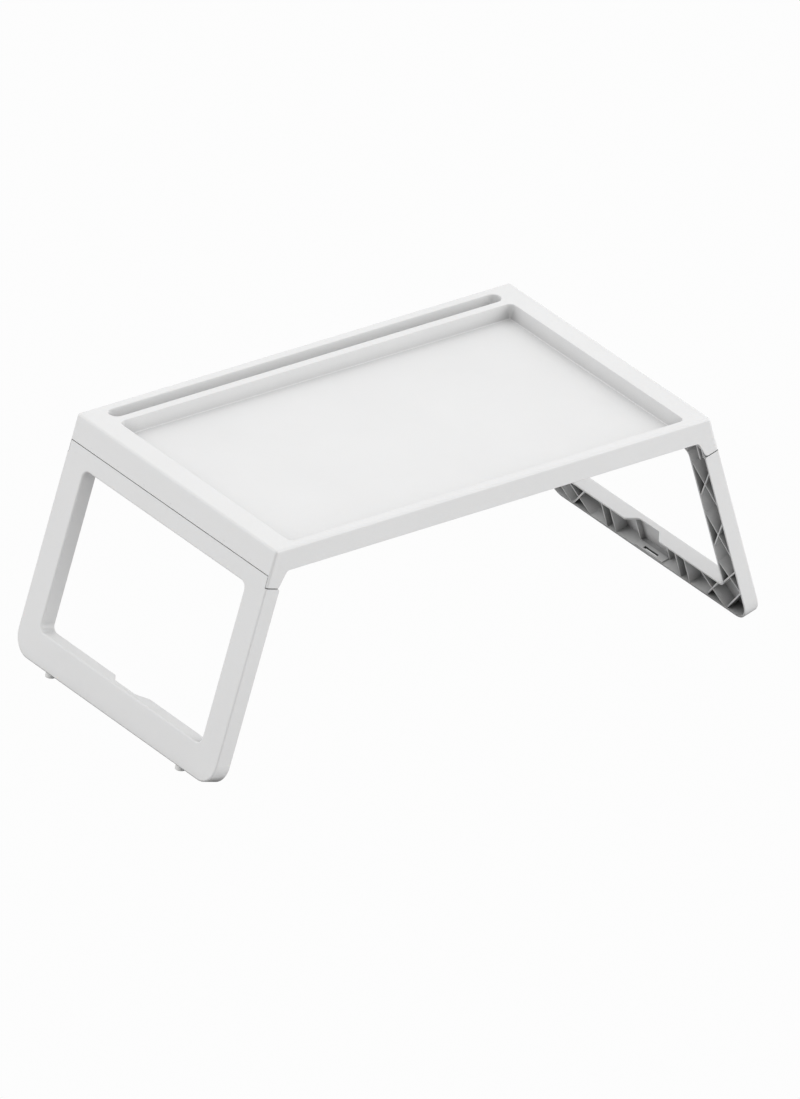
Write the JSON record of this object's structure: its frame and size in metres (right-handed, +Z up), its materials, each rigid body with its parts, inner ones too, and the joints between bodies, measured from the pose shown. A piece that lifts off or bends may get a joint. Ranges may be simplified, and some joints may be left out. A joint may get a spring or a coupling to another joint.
{
  "type": "folding tray table",
  "caption": "Moulded bed tray with a recessed top, a long slot for a tablet and splayed leg frames that fold flat under it on pins.",
  "frame": {"origin": "on the floor under the middle of the tray", "axes": "+X along the tray's length, +Y from the front edge to the slot at the back, +Z up"},
  "size_m": [0.6968, 0.36, 0.26],
  "materials": {
    "tray_plastic": "smooth satin white moulded plastic",
    "leg_plastic": "smooth satin white moulded plastic",
    "pin_plastic": "satin",
    "rubber_foot": "soft matt"
  },
  "bodies": {
    "tray": {"tray_top": "tray_plastic"},
    "leg_left": {"leg_frame_left": "leg_plastic", "hinge_pin_front_left": "pin_plastic", "hinge_pin_back_left": "pin_plastic", "foot_front_left": "rubber_foot", "foot_back_left": "rubber_foot"},
    "leg_right": {"leg_frame_right": "leg_plastic", "hinge_pin_front_right": "pin_plastic", "hinge_pin_back_right": "pin_plastic", "foot_front_right": "rubber_foot", "foot_back_right": "rubber_foot"}
  },
  "joints": [
    {"name": "leg_fold_right", "type": "hinge", "parent": "tray", "child": "leg_right", "pos_m": [0.26972, 0, 0.22578], "axis": [0, 1, 0], "range_deg": [0, 106.7]},
    {"name": "leg_fold_left", "type": "hinge", "parent": "tray", "child": "leg_left", "pos_m": [-0.26972, 0, 0.22578], "axis": [0, -1, 0], "range_deg": [0, 106.7]}
  ]
}
